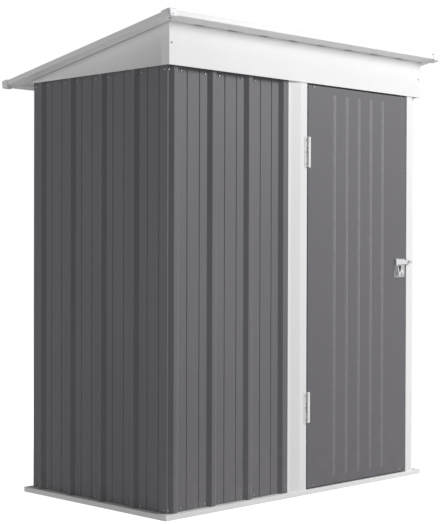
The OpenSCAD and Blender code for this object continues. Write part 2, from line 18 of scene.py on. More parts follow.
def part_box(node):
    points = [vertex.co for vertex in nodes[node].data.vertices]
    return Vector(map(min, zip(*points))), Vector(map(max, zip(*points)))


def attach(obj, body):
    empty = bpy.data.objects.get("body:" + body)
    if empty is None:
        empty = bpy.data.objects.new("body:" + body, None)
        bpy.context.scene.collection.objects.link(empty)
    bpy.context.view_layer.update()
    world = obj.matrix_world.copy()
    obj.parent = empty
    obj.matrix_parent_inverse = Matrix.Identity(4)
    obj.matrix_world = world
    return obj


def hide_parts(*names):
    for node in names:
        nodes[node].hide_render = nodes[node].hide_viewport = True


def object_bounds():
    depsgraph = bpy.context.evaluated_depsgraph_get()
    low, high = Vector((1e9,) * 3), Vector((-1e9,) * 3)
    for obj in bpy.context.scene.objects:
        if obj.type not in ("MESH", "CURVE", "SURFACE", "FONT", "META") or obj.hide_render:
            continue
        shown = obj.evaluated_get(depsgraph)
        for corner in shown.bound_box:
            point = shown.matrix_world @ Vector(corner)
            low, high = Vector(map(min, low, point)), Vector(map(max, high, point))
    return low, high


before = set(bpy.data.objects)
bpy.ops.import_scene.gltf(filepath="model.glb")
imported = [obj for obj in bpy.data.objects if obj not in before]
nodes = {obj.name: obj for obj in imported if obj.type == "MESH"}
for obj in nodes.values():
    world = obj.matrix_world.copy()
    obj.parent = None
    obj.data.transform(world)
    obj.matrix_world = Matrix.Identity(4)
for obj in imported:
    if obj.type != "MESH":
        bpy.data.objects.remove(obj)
cad_low, cad_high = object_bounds()
MM = 0.001
print("pieces of the construction:", len(nodes))
print("overall size in metres:", [round(c, 3) for c in cad_high - cad_low])

# %% [markdown]
# ## The camera
#
# A shed of this height is usually shown from about chest height and from well back,
# with a long lens, so that the upright edges stay almost parallel. A short lens nearby
# would be easier to place in a small room, but the walls would lean. The camera stands off
# the left front corner and looks along the diagonal, so both seen walls are about equally
# foreshortened.

# %% Stand the camera off the left front corner
CAMERA_PLACE = Vector((-3.981, -3.950, 0.963))
CAMERA_TURN = math.radians(44.885)
CAMERA_DOWN = math.radians(0.509)
CAMERA_ROLL = math.radians(0.163)

camera_data = bpy.data.cameras.new("camera")
camera_data.lens = 92.84
camera_data.sensor_width = 36
camera_data.clip_end = 60
camera = bpy.data.objects.new("camera", camera_data)
bpy.context.scene.collection.objects.link(camera)
camera.location = CAMERA_PLACE
ahead = Vector((math.sin(CAMERA_TURN) * math.cos(CAMERA_DOWN),
                math.cos(CAMERA_TURN) * math.cos(CAMERA_DOWN), -math.sin(CAMERA_DOWN)))
camera.rotation_mode = "QUATERNION"
camera.rotation_quaternion = (ahead.to_track_quat("-Z", "Y")
                              @ Matrix.Rotation(CAMERA_ROLL, 3, "Z").to_quaternion())
bpy.context.scene.camera = camera
print("camera is", round(CAMERA_PLACE.length, 2), "m from the middle of the ground plan")

# %% [markdown]
# ## Node helpers for the finishes
#
# Paint on sheet steel is never one flat colour: it has faint clouds from the coil line, a
# fine orange peel, dust that rain has splashed up near the ground and slightly polished
# folds. These could be painted into an image, but an image has a fixed size and needs
# unwrapping. Procedural nodes work at any distance and follow the piece when it moves,
# because they read the piece's own coordinates.

# %% Wire nodes together with short calls
def new_finish(name):
    material = bpy.data.materials.new(name)
    material.use_nodes = True
    tree = material.node_tree
    shader = tree.nodes["Principled BSDF"]
    coords = tree.nodes.new("ShaderNodeTexCoord")
    return material, tree, shader, coords.outputs["Object"]


def add_noise(tree, coords, scale, detail=3.0, stretch=(1, 1, 1)):
    mapping = tree.nodes.new("ShaderNodeMapping")
    mapping.inputs["Scale"].default_value = stretch
    noise = tree.nodes.new("ShaderNodeTexNoise")
    noise.inputs["Scale"].default_value = scale
    noise.inputs["Detail"].default_value = detail
    tree.links.new(coords, mapping.inputs["Vector"])
    tree.links.new(mapping.outputs["Vector"], noise.inputs["Vector"])
    return noise.outputs["Fac"]


def add_range(tree, value, low, high, out_low, out_high):
    remap = tree.nodes.new("ShaderNodeMapRange")
    for socket, number in zip(remap.inputs[1:5], (low, high, out_low, out_high)):
        socket.default_value = number
    tree.links.new(value, remap.inputs[0])
    return remap.outputs[0]


def add_math(tree, kind, a, b):
    node = tree.nodes.new("ShaderNodeMath")
    node.operation = kind
    for socket, value in zip(node.inputs, (a, b)):
        if isinstance(value, (int, float)):
            socket.default_value = value
        else:
            tree.links.new(value, socket)
    return node.outputs[0]


def add_mix(tree, amount, a, b):
    node = tree.nodes.new("ShaderNodeMix")
    node.data_type = "RGBA"
    tree.links.new(amount, node.inputs["Factor"])
    for socket, value in zip((node.inputs[6], node.inputs[7]), (a, b)):
        if isinstance(value, tuple):
            socket.default_value = (*value, 1)
        else:
            tree.links.new(value, socket)
    return node.outputs[2]


def add_bump(tree, height, depth, strength, normal=None):
    bump = tree.nodes.new("ShaderNodeBump")
    bump.inputs["Distance"].default_value = depth
    bump.inputs["Strength"].default_value = strength
    tree.links.new(height, bump.inputs["Height"])
    if normal is not None:
        tree.links.new(normal, bump.inputs["Normal"])
    return bump.outputs["Normal"]


print("node helpers ready")

# %% [markdown]
# ## Paint on steel
#
# The grey and the white of the shed are the same product in two colours: a polyester coat
# baked on the coil before the sheets were rolled. It is satin, so it shows soft highlights
# with a little grain in them. One recipe makes both, with the colour, the amount of dust
# and the size of the clouds as its ingredients. The vertices carry a number called fold,
# which is 1 on a bend: there the coat is stretched and worn by rubbing, and looks a little
# paler. On the door's beads the same number paints a highlight: paler colour, stronger
# higher up, stands in for the light that the bead ridges catch.

# %% Mix the coil-coated paints
def coil_paint(name, colour, dust_colour, roughness=0.5, cloud=0.05, dust=0.25, wear_and_highlight_strength=0.12,
               patchy=0.75):
    material, tree, shader, coords = new_finish(name)
    paler = tuple(min(1, c * (1 + cloud)) for c in colour)
    deeper = tuple(c * (1 - cloud) for c in colour)
    clouds = add_noise(tree, coords, 2.2, 4, (1, 1, 0.45))
    base = add_mix(tree, add_range(tree, clouds, 0.35, 0.65, 0, 1), deeper, paler)

    # paler on folds: wear on the bends, and a painted highlight where the door's beads carry the
    # number
    fold = tree.nodes.new("ShaderNodeAttribute")
    fold.attribute_name = "fold"
    wear_and_highlight_patches = add_range(tree, add_noise(tree, coords, 38, 5), 0.42, 0.62, 1 - patchy, 1)
    wear_and_highlight = add_math(tree, "MULTIPLY", add_math(tree, "MULTIPLY", fold.outputs["Fac"], wear_and_highlight_patches), wear_and_highlight_strength)
    base = add_mix(tree, wear_and_highlight, base, tuple(min(1, c * 1.6 + 0.03) for c in colour))

    split = tree.nodes.new("ShaderNodeSeparateXYZ")
    tree.links.new(coords, split.inputs[0])
    low_down = add_range(tree, split.outputs["Z"], 0.0, 0.32, dust, 0)
    speckle = add_range(tree, add_noise(tree, coords, 24, 6), 0.38, 0.7, 0, 1)
    base = add_mix(tree, add_math(tree, "MULTIPLY", low_down, speckle), base, dust_colour)
    tree.links.new(base, shader.inputs["Base Color"])

    grain = add_noise(tree, coords, 160, 3)
    rough = add_range(tree, grain, 0.3, 0.7, roughness - 0.05, roughness + 0.06)
    dusty = add_math(tree, "MULTIPLY", low_down, 0.5)
    tree.links.new(add_math(tree, "ADD", rough, dusty), shader.inputs["Roughness"])

    peel = add_noise(tree, coords, 620, 2)
    waves = add_noise(tree, coords, 3.1, 1, (1, 1, 0.5))
    dents = add_bump(tree, waves, 0.0022, 0.35)
    tree.links.new(add_bump(tree, peel, 0.00006, 0.5, dents), shader.inputs["Normal"])
    shader.inputs["Specular IOR Level"].default_value = 0.20
    return material


WALL_GREY = (0.180, 0.174, 0.188)
DOOR_GREY = (0.164, 0.158, 0.171)
PAINT_WHITE = (0.88, 0.88, 0.88)
ROOF_WHITE = (0.80, 0.80, 0.80)
DUST = (0.46, 0.42, 0.37)

wall_paint = coil_paint("wall_paint", WALL_GREY, DUST, 0.5, 0.04, 0.11)
# the door's paling of 0.7 is mostly a painted highlight on its beads, with a little wear on the
# tray's folds
door_paint = coil_paint("door_paint", DOOR_GREY, DUST, 0.5, 0.03, 0.07, 0.7, 0.3)
white_paint = coil_paint("white_paint", PAINT_WHITE, DUST, 0.36, 0.015, 0.06, 0.05)
roof_paint = coil_paint("roof_paint", ROOF_WHITE, DUST, 0.40, 0.02, 0.0, 0.05)
print("paints:", [m.name for m in (wall_paint, door_paint, white_paint, roof_paint)])

# %% [markdown]
# ## Zinc, chrome, plastic and rubber
#
# The hidden channels are only galvanised: zinc crystals give them a dull patchwork of
# slightly different greys, which a Voronoi pattern draws well. The latch has a cloudy plating,
# half mirror and half milky, broken by fine scratches. The corner caps are moulded plastic with a
# spark-eroded grain, and the screws have a zinc head on a soft washer.

# %% Mix the bare metals and the plastics
def galvanised(name, colour, crystal, roughness):
    material, tree, shader, coords = new_finish(name)
    cells = tree.nodes.new("ShaderNodeTexVoronoi")
    cells.inputs["Scale"].default_value = crystal
    tree.links.new(coords, cells.inputs["Vector"])
    tone = tree.nodes.new("ShaderNodeSeparateColor")
    tree.links.new(cells.outputs["Color"], tone.inputs[0])
    flakes = add_range(tree, tone.outputs[0], 0, 1, 0, 1)
    tree.links.new(add_mix(tree, flakes, tuple(c * 0.86 for c in colour), colour),
                   shader.inputs["Base Color"])
    tree.links.new(add_range(tree, tone.outputs[1], 0, 1, roughness - 0.08, roughness + 0.1),
                   shader.inputs["Roughness"])
    tree.links.new(add_bump(tree, add_noise(tree, coords, 240, 4), 0.00008, 0.4),
                   shader.inputs["Normal"])
    shader.inputs["Metallic"].default_value = 0.85
    return material


def plated(name):
    material, tree, shader, coords = new_finish(name)
    brushed = add_noise(tree, coords, 90, 6, (1, 1, 12))
    tree.links.new(add_range(tree, brushed, 0.3, 0.7, 0.26, 0.40), shader.inputs["Roughness"])
    tarnish = add_range(tree, add_noise(tree, coords, 30, 4), 0.4, 0.75, 0, 1)
    tree.links.new(add_mix(tree, tarnish, (0.93, 0.93, 0.94), (0.84, 0.84, 0.86)),
                   shader.inputs["Base Color"])
    tree.links.new(add_bump(tree, brushed, 0.00001, 0.15), shader.inputs["Normal"])
    shader.inputs["Metallic"].default_value = 0.3
    return material


def moulded(name, colour, roughness, grain_size=900, grain_depth=0.00008):
    material, tree, shader, coords = new_finish(name)
    soft = add_range(tree, add_noise(tree, coords, 14, 3), 0.35, 0.65, 0, 1)
    tree.links.new(add_mix(tree, soft, tuple(c * 0.95 for c in colour), colour),
                   shader.inputs["Base Color"])
    grain = add_noise(tree, coords, grain_size, 2)
    tree.links.new(add_range(tree, grain, 0.3, 0.7, roughness - 0.06, roughness + 0.06),
                   shader.inputs["Roughness"])
    tree.links.new(add_bump(tree, grain, grain_depth, 0.6), shader.inputs["Normal"])
    return material


bare_zinc = galvanised("bare_zinc", (0.56, 0.57, 0.58), 90, 0.42)
screw_zinc = galvanised("screw_zinc", (0.56, 0.56, 0.57), 700, 0.36)
chrome_plate = plated("chrome_plate")
cap_plastic = moulded("cap_plastic", (0.90, 0.91, 0.93), 0.45)
washer_rubber = moulded("washer_rubber", (0.22, 0.22, 0.23), 0.55, 1400)
washer_pale = moulded("washer_pale", (0.60, 0.60, 0.61), 0.55, 1400)
# painted shade: a near-black that stands for the shade inside the pull's hollow mouth and the caps'
# screw slots
painted_shade_dark = moulded("painted_shade_dark", (0.02, 0.02, 0.02), 0.5, 1400)
plate_nickel = galvanised("plate_nickel", (0.72, 0.72, 0.73), 260, 0.38)
print("other finishes:", [m.name for m in (bare_zinc, screw_zinc, chrome_plate, cap_plastic)])

# %% [markdown]
# ## Saw a piece across
#
# To give a channel its bend radii, its section has to be known. It could be typed in again
# as a list of sizes, but then there would be two sources of truth. Here it is read off the
# solid itself: the triangles that close one end of the piece are laid flat, and the edges
# that only one of them uses are the section's outline. This also works for a mitred end,
# because the two halves of a mitre lie in the same shadow.

# %% Trace the outline of a section
ALONG_Z = Matrix.Identity(3)
ALONG_X = Matrix(((0, 1, 0), (0, 0, 1), (1, 0, 0)))
ALONG_Y = Matrix(((0, 0, 1), (1, 0, 0), (0, 1, 0)))


def end_triangles(node, turn):
    """Corners, turned so that the piece runs along z, of the triangles that close its low end."""
    mesh = nodes[node].data
    points = [turn @ v.co for v in mesh.vertices]
    middle = (min(p.z for p in points) + max(p.z for p in points)) / 2
    mesh.calc_loop_triangles()
    found = []
    for triangle in mesh.loop_triangles:
        corners = [points[i] for i in triangle.vertices]
        flat = (corners[1] - corners[0]).cross(corners[2] - corners[0])
        if flat.length > 0 and abs(flat.z) > 0.5 * flat.length and max(c.z for c in corners) < middle:
            found.append(corners)
    return found, min(p.z for p in points), max(p.z for p in points)


def traced_section(node, turn):
    """Outline of the section, anticlockwise, and where the piece starts and ends."""
    triangles, low, high = end_triangles(node, turn)
    uses = {}
    for corners in triangles:
        names = [(round(c.x, 6), round(c.y, 6)) for c in corners]
        for a, b in zip(names, names[1:] + names[:1]):
            edge = frozenset((a, b))
            uses[edge] = uses.get(edge, 0) + 1
    onward = {}
    for edge, count in uses.items():
        if count == 1 and len(edge) == 2:
            a, b = edge
            onward.setdefault(a, []).append(b)
            onward.setdefault(b, []).append(a)
    start = min(onward)
    loop, last, here = [start], None, start
    while True:
        ahead_points = [p for p in onward[here] if p != last]
        last, here = here, ahead_points[0]
        if here == start:
            break
        loop.append(here)
    loop = [Vector(p) for p in loop]
    area = sum(a.x * b.y - b.x * a.y for a, b in zip(loop, loop[1:] + loop[:1]))
    if area < 0:
        loop.reverse()
    return without_straights(loop), low, high


def without_straights(loop):
    kept = []
    for i, p in enumerate(loop):
        before, after = p - loop[i - 1], loop[(i + 1) % len(loop)] - p
        bend = abs(before.x * after.y - before.y * after.x)
        if bend > 1e-4 * before.length * after.length:
            kept.append(p)
    return kept


wall_section, wall_low, wall_high = traced_section("front_panel", ALONG_Z)
print("corners in the front sheet's section:", len(wall_section))

# %% [markdown]
# ## Bend the corners
#
# A press brake bends steel around a small nose, so the inside of a fold has that radius and
# the outside has it plus the thickness of the sheet. On a closed outline that means: a
# hollow corner gets the small radius, a proud corner gets the large one. Only the raw edges
# of the sheet stay almost sharp. A bevel modifier could round the corners too, but it gives
# both sides the same radius, and the sheet would look swollen at its folds.

# %% Round an outline the way a fold does
def folded_outline(loop, thickness, inside):
    """Points of the rounded outline, and for each side of it 1 on a fold and 0 on a flat."""
    points, on_fold = [], []
    for i, p in enumerate(loop):
        back, on = loop[i - 1] - p, loop[(i + 1) % len(loop)] - p
        turn = math.pi - back.angle(on)
        proud = (-back.x * on.y + back.y * on.x) > 0
        raw_edge = min(back.length, on.length) < 1.6 * thickness
        radius = 0.12 * thickness if raw_edge else inside + (thickness if proud else 0)
        reach = min(radius * math.tan(turn / 2), 0.45 * min(back.length, on.length))
        radius = reach / math.tan(turn / 2)
        start, end = p + back.normalized() * reach, p + on.normalized() * reach
        inward = (back.normalized() + on.normalized()).normalized()
        centre = p + inward * (radius / math.cos(turn / 2))
        steps = 1 if raw_edge else max(2, round(math.degrees(turn) / 15))
        for k in range(steps + 1):
            arm = (start - centre).lerp(end - centre, k / steps)
            points.append(centre + arm.normalized() * radius)
            on_fold.append(0.0 if raw_edge or k == steps else 1.0)
    return points, on_fold


SHEET = 0.8 * MM
SHEET_BEND = 1.6 * MM
bent, bent_folds = folded_outline(wall_section, SHEET, SHEET_BEND)
print("points once its corners are bent:", len(bent))

# %% [markdown]
# ## Draw the section out to its length
#
# With the outline bent, the piece is two rings of points and the walls between them. The
# ends may be square or mitred: a small function says, for each point of the outline, where
# the piece stops. Smooth shading alone would smear light across the wide flats, so sharp
# edges are marked by angle and the normals are weighted by area, which keeps flats flat.

# %% Make pieces from outlines
def dress(obj, material, body, stands_for=(), crisp=40):
    mesh = obj.data
    if not mesh.materials:
        mesh.materials.append(material)
    for polygon in mesh.polygons:
        polygon.use_smooth = True
    mesh.set_sharp_from_angle(angle=math.radians(crisp))
    even = obj.modifiers.new("even_shading", "WEIGHTED_NORMAL")
    even.keep_sharp = True
    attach(obj, body)
    if stands_for:
        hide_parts(*stands_for)
    return obj


def new_object(name, verts, faces, folds=()):
    """A mesh object; folds gives, for its first faces, how much each one is a fold; on the door's
    beads it gives a painted highlight instead.
    """
    mesh = bpy.data.meshes.new(name)
    mesh.from_pydata([tuple(v) for v in verts], [], faces)
    layer = mesh.attributes.new("fold", "FLOAT", "FACE")
    layer.data.foreach_set("value", list(folds) + [0.0] * (len(faces) - len(folds)))
    mesh.update()
    obj = bpy.data.objects.new(name, mesh)
    bpy.context.scene.collection.objects.link(obj)
    return obj


def drawn_piece(name, node, turn, thickness, inside, material, body, ends=None):
    """The node's section with bent corners, drawn out between its ends."""
    loop, low, high = traced_section(node, turn)
    outline, on_fold = folded_outline(loop, thickness, inside)
    first, last = ends(low, high) if ends else (lambda p: low, lambda p: high)
    back = turn.inverted()
    count = len(outline)
    verts = [back @ Vector((p.x, p.y, first(p))) for p in outline]
    verts += [back @ Vector((p.x, p.y, last(p))) for p in outline]
    faces = [(i, (i + 1) % count, count + (i + 1) % count, count + i) for i in range(count)]
    faces += [tuple(reversed(range(count))), tuple(range(count, 2 * count))]
    obj = new_object(name, verts, faces, on_fold)
    return dress(obj, material, body, (node,))


print("fold radius inside a sheet, in metres:", SHEET_BEND)

# %% [markdown]
# ## The wall sheets
#
# Each sheet was rolled from a flat coil: deep ribs every 170 to 195 mm make it stiff, and
# two shallow grooves in each pan stop it from drumming. The side sheets also have a narrow
# flange turned in at each corner, which the screws catch. All five are drawn from their
# sections in the same way.

# %% Draw the walls
WALLS = {"front_sheet": "front_panel", "left_sheet": "left_wall", "right_sheet": "right_wall",
         "back_sheet_left": "back_wall_left", "back_sheet_right": "back_wall_right"}
for name, node in WALLS.items():
    drawn_piece(name, node, ALONG_Z, SHEET, SHEET_BEND, wall_paint, "shed")
print("wall sheets:", len(WALLS))

# %% [markdown]
# ## The roof sheets
#
# The roof is the same sort of sheet laid on a slope, with its ribs running down to the
# back. The slope isn't typed in: the flats of the middle sheet face straight up from the
# roof, so the largest triangle of that sheet says which way up is.

# %% Draw the roof
def facing_of_largest_triangle(node):
    mesh = nodes[node].data
    mesh.calc_loop_triangles()
    largest = max(mesh.loop_triangles, key=lambda t: t.area)
    return largest.normal * (1 if largest.normal.z > 0 else -1)


roof_up = facing_of_largest_triangle("roof_sheet_middle")
LEVEL_ROOF = Matrix.Rotation(math.atan2(roof_up.y, roof_up.z), 3, "X")
for side in ("left", "middle", "right"):
    drawn_piece("roof_cover_" + side, "roof_sheet_" + side, ALONG_Y @ LEVEL_ROOF,
                SHEET, SHEET_BEND, roof_paint, "shed")
print("roof slope in degrees:", round(math.degrees(math.atan2(roof_up.y, roof_up.z)), 2))

# %% [markdown]
# ## Rails and edge trims
#
# The base rails lie on the ground around the shed, the top rails hold the walls' upper
# edges, and channels go round the roof like a picture frame. All of them meet at the
# corners in mitres. The section is traced as before, and each point of it is simply cut
# back by its own distance from the outer edge, which is what a mitre saw does. The roof's
# channels also stop a little short of the corner, where the plastic caps take over.

# %% Draw the mitred pieces
def mitre(node, turn, across, outer_side, corners=None):
    """Where a mitred piece ends: across is the section's axis that runs inwards."""
    box = [turn @ v.co for v in nodes[node].data.vertices]
    outer = outer_side(p[across] for p in box)

    def depth(p):
        return abs(p[across] - outer)

    def ends(low, high):
        corner_low, corner_high = corners or (low, high)
        return (lambda p: max(low, corner_low + depth(p)),
                lambda p: min(high, corner_high - depth(p)))
    return ends


RAIL = 1.2 * MM
EDGES = {"front": (ALONG_X, 0, min), "back": (ALONG_X, 0, max),
         "left": (ALONG_Y, 1, min), "right": (ALONG_Y, 1, max)}
for side, (turn, across, outer_side) in EDGES.items():
    for new_name, node, paint, slot in (("base_channel_", "base_rail_", white_paint, "base_white"),
                                        ("wall_plate_", "top_rail_", bare_zinc, "frame_zinc")):
        drawn_piece(new_name + side, node + side, turn, RAIL, RAIL, paint, "shed",
                    mitre(node + side, turn, across, outer_side))
print("rails:", 2 * len(EDGES))

# %% Draw the roof's edge trims
TRIM = 1.0 * MM


def levelled_box(node, turn):
    points = [turn @ LEVEL_ROOF @ v.co for v in nodes[node].data.vertices]
    return [(min(p[k] for p in points), max(p[k] for p in points)) for k in range(3)]


for side, (turn, across, outer_side) in EDGES.items():
    neighbours = ("left", "right") if side in ("front", "back") else ("front", "back")
    first, last = (levelled_box("roof_trim_" + n, turn)[2] for n in neighbours)
    drawn_piece("edge_channel_" + side, "roof_trim_" + side, turn @ LEVEL_ROOF, TRIM, TRIM,
                white_paint, "shed",
                mitre("roof_trim_" + side, turn @ LEVEL_ROOF, across, outer_side,
                      (first[0], last[1])))
print("edge trims:", len(EDGES))

# %% [markdown]
# ## Door posts, roof beams and the door's inner frame
#
# The two door posts are folded from white sheet: the left one rises from the wall to the
# face that carries the hinges, the right one closes the corner. Beams and channels inside
# are plain U shapes. All are straight lengths with square ends, so one loop draws them.

# %% Draw the straight lengths
STRAIGHT = (
    ("door_post_left", "door_jamb_left", ALONG_Z, SHEET, white_paint, "shed", "trim_white"),
    ("door_post_right", "door_jamb_right", ALONG_Z, SHEET, white_paint, "shed", "trim_white"),
    ("beam_front", "roof_beam_front", ALONG_X @ LEVEL_ROOF, RAIL, bare_zinc, "shed", "frame_zinc"),
    ("beam_rear", "roof_beam_rear", ALONG_X @ LEVEL_ROOF, RAIL, bare_zinc, "shed", "frame_zinc"),
    ("stile_left", "door_stile_left", ALONG_Z, RAIL, door_paint, "door", "door_frame_grey"),
    ("stile_right", "door_stile_right", ALONG_Z, RAIL, door_paint, "door", "door_frame_grey"),
    ("rail_top", "door_rail_top", ALONG_X, RAIL, door_paint, "door", "door_frame_grey"),
    ("rail_bottom", "door_rail_bottom", ALONG_X, RAIL, door_paint, "door", "door_frame_grey"),
)
for name, node, turn, thickness, material, body, slot in STRAIGHT:
    drawn_piece(name, node, turn, thickness, RAIL, material, body)
print("straight lengths:", len(STRAIGHT))

# %% [markdown]
# ## Pieces that have no single section
#
# The fascia, the gables, the hinges, the latch and the corner caps are folded, cut or
# moulded in more than one direction, so they can't be drawn from one outline. For them the
# solid is copied, its triangles are joined back into whole faces, and every sharp edge gets
# a small round. Rounding the copy with a modifier would work as well, but the loose
# triangles of the construction have to be welded first, and bmesh does both in one go.

# %% Copy a solid and soften its edges
def softened(name, node, width, material, body, rounds=2, crisp=40, first=None):
    """first may name edges, by a test, and a wider round that they get before the others."""
    shape = bmesh.new()
    shape.from_mesh(nodes[node].data)
    bmesh.ops.remove_doubles(shape, verts=shape.verts, dist=0.001 * MM)
    bmesh.ops.dissolve_limit(shape, angle_limit=math.radians(0.5), verts=shape.verts,
                             edges=shape.edges)
    if first:
        chosen = [e for e in shape.edges if len(e.link_faces) == 2 and first[0](e)]
        bmesh.ops.bevel(shape, geom=chosen, offset=first[1], segments=5, profile=0.5,
                        affect="EDGES", clamp_overlap=True)
    flats = set(shape.faces)
    layer = shape.faces.layers.float.new("fold")
    sharp = [e for e in shape.edges
             if len(e.link_faces) == 2 and e.calc_face_angle(0) > math.radians(25)]
    bmesh.ops.bevel(shape, geom=sharp, offset=width, segments=rounds, profile=0.5,
                    affect="EDGES", clamp_overlap=True)
    for face in shape.faces:
        face[layer] = 0.0 if face in flats else 1.0
    mesh = bpy.data.meshes.new(name)
    shape.to_mesh(mesh)
    shape.free()
    obj = bpy.data.objects.new(name, mesh)
    bpy.context.scene.collection.objects.link(obj)
    return dress(obj, material, body, (node,), crisp)


def widest_level(node, direction):
    """How far out the widest of the node's flats that face the given way lies."""
    mesh = nodes[node].data
    mesh.calc_loop_triangles()
    way, widths = Vector(direction), {}
    for triangle in mesh.loop_triangles:
        if triangle.normal.dot(way) > 0.999:
            level = round(mesh.vertices[triangle.vertices[0]].co.dot(way), 5)
            widths[level] = widths.get(level, 0) + triangle.area
    return max(widths, key=widths.get)


CORNERS = ("front_left", "front_right", "back_left", "back_right")
CAP_ROUND = 3.2 * MM


def outer_rim(corner):
    """A test for the edges between a cap's top or bottom and its two outer sides."""
    outwards = Vector((-1 if "left" in corner else 1, -1 if "front" in corner else 1, 0))

    def on_rim(edge):
        side, level = sorted((abs(face.normal.dot(roof_up)), face.normal.dot(outwards))
                             for face in edge.link_faces)
        faces_out = side[0] < 0.5 and side[1] > 0.2
        return faces_out and level[0] > 0.98 and edge.calc_face_angle_signed(0) > 1
    return on_rim


softened("fascia", "front_fascia", 0.9 * MM, white_paint, "shed")
for side in ("left", "right"):
    softened("gable_cover_" + side, "gable_" + side, 0.5 * MM, white_paint, "shed")
for corner in CORNERS:
    softened("cap_" + corner, "corner_cap_" + corner, 0.8 * MM, cap_plastic, "shed",
             2, 40, (outer_rim(corner), CAP_ROUND))
for place in ("upper", "lower"):
    softened(f"hinge_{place}_on_post", f"hinge_{place}_jamb_leaf", 0.35 * MM, white_paint,
             "shed")
    softened(f"hinge_{place}_on_door", f"hinge_{place}_door_leaf", 0.35 * MM, white_paint,
             "door")
print("softened pieces so far:", 3 + len(CORNERS) + 4)

# %% [markdown]
# ## The door's skin
#
# The real skin starts as a flat blank with its corners notched out. A press raises five
# long beads in it, then its four edges are folded back into a shallow tray. The grid below
# follows the same steps: rows and columns are set out where something happens, the beads
# are a height added to each point, and the folds send the outer rows and columns round a
# small radius. A plain box with grooves cut by booleans would be quicker, but its beads
# would end in square steps instead of running out softly.

# %% Read the beads off the construction
panel = nodes["door_panel"].data
panel_low, panel_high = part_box("door_panel")
face_y = min(v.co.y for v in panel.vertices if abs(v.co.x - panel_low.x) < 0.01 * MM)
bead_height = face_y - panel_low.y
crest = [v.co for v in panel.vertices if abs(v.co.y - panel_low.y) < 0.01 * MM]
crest_x = sorted({round(c.x, 5) for c in crest})
bead_middles = [(a + b) / 2 for a, b in zip(crest_x[::2], crest_x[1::2])]
RUN_OUT = 5.5 * MM
bead_half = (crest_x[1] - crest_x[0]) / 2 + RUN_OUT
bead_low, bead_high = min(c.z for c in crest), max(c.z for c in crest)
print("beads at", [round(x, 3) for x in bead_middles], "height", round(bead_height, 4))


# %% Press the beads and fold the tray
def bead_rise(x, z):
    """How far the skin stands out at a point: beads with round ends and soft sides."""
    middle = min(bead_middles, key=lambda m: abs(m - x))
    end = min(max(z, bead_low + bead_half), bead_high - bead_half)
    share = (bead_half - math.hypot(x - middle, z - end)) / RUN_OUT
    share = min(1, max(0, share))
    return bead_height * share * share * (3 - 2 * share)


def painted_bead_highlight(x, z):
    """How strong the painted highlight on the beads is: stronger at the top than near the ground."""
    if bead_rise(x, z) == 0:
        return 0.0
    return 0.6 + 0.4 * (z - bead_low) / (bead_high - bead_low)


def tray_stations(low, high, depth, inside):
    """(place, depth) across the blank: a flange, a fold, the face, a fold, a flange."""
    radius = 2.2 * MM
    arc = [(radius * (1 - math.cos(math.radians(a))), radius * (1 - math.sin(math.radians(a))))
           for a in (0, 22.5, 45, 67.5, 90)]
    start = [(low, depth)] + [(low + p, d) for p, d in arc]
    end = [(high - p, d) for p, d in reversed(arc)] + [(high, depth)]
    return start + [(p, 0.0) for p in inside] + end


bead_steps = [-1, -0.8, -0.6, -0.4, -0.2, 0, 0.2, 0.4, 0.6, 0.8, 1]
inner_x = [m + k * bead_half for m in bead_middles for k in bead_steps]
run_out = [0, 0.25, 0.5, 0.75, 1, 1.25, 1.6, 2.0]
middle_rows = [panel_low.z + (panel_high.z - panel_low.z) * k / 12 for k in range(1, 12)]
inner_z = ([bead_low + k * bead_half for k in run_out] + middle_rows
           + [bead_high - k * bead_half for k in reversed(run_out)])
columns = tray_stations(panel_low.x, panel_high.x, panel_high.y - face_y, inner_x)
rows = tray_stations(panel_low.z, panel_high.z, panel_high.y - face_y, inner_z)
verts = [(x, face_y + max(dx, dz) - (bead_rise(x, z) if dx == dz == 0 else 0), z)
         for z, dz in rows for x, dx in columns]
faces, folds = [], []
for j in range(len(rows) - 1):
    for i in range(len(columns) - 1):
        past_side = max(columns[i][1], columns[i + 1][1]) > 0
        past_end = max(rows[j][1], rows[j + 1][1]) > 0
        if past_side and past_end:
            continue
        a = j * len(columns) + i
        faces.append((a, a + 1, a + 1 + len(columns), a + len(columns)))
        if past_side or past_end:
            on_side, on_end = 0 < i < len(columns) - 2, 0 < j < len(rows) - 2
            folds.append(0.4 if (past_side and on_side) or (past_end and on_end) else 0.0)
        else:
            # painted highlight on the bead ridges, paler colour that is stronger towards the top
            folds.append(painted_bead_highlight((columns[i][0] + columns[i + 1][0]) / 2,
                                   (rows[j][0] + rows[j + 1][0]) / 2))
door_skin = new_object("door_skin", verts, faces, folds)
door_skin.data.validate()
loose = bmesh.new()
loose.from_mesh(door_skin.data)
bmesh.ops.delete(loose, geom=[v for v in loose.verts if not v.link_faces], context="VERTS")
loose.to_mesh(door_skin.data)
loose.free()
gauge = door_skin.modifiers.new("gauge", "SOLIDIFY")
gauge.thickness = SHEET
gauge.offset = -1
dress(door_skin, door_paint, "door", ("door_panel",), 50)
print("door skin:", len(faces), "faces")

# %% [markdown]
# ## The latch
#
# A hasp on the door drops over a staple on the post, and a padlock would go through the
# staple's hole. The plate, its tapered pull, the strap and the staple are cast or pressed
# and then plated. Plating needs generous rounds, because it only reads as metal where it
# turns and catches something bright next to something dark.

# %% Soften the latch
latch_body = softened("latch_body", "latch_plate", 0.5 * MM, chrome_plate, "door",
                      3)
latch_body.data.materials.append(plate_nickel)
plate_face = -widest_level("latch_plate", (0, -1, 0))
for polygon in latch_body.data.polygons:
    if polygon.center.y > plate_face - 0.3 * MM:
        polygon.material_index = 1
softened("hasp", "hasp_strap", 0.4 * MM, chrome_plate, "hasp", 3)
softened("staple", "latch_staple", 0.4 * MM, chrome_plate, "shed", 3)
print("latch pieces: 3")
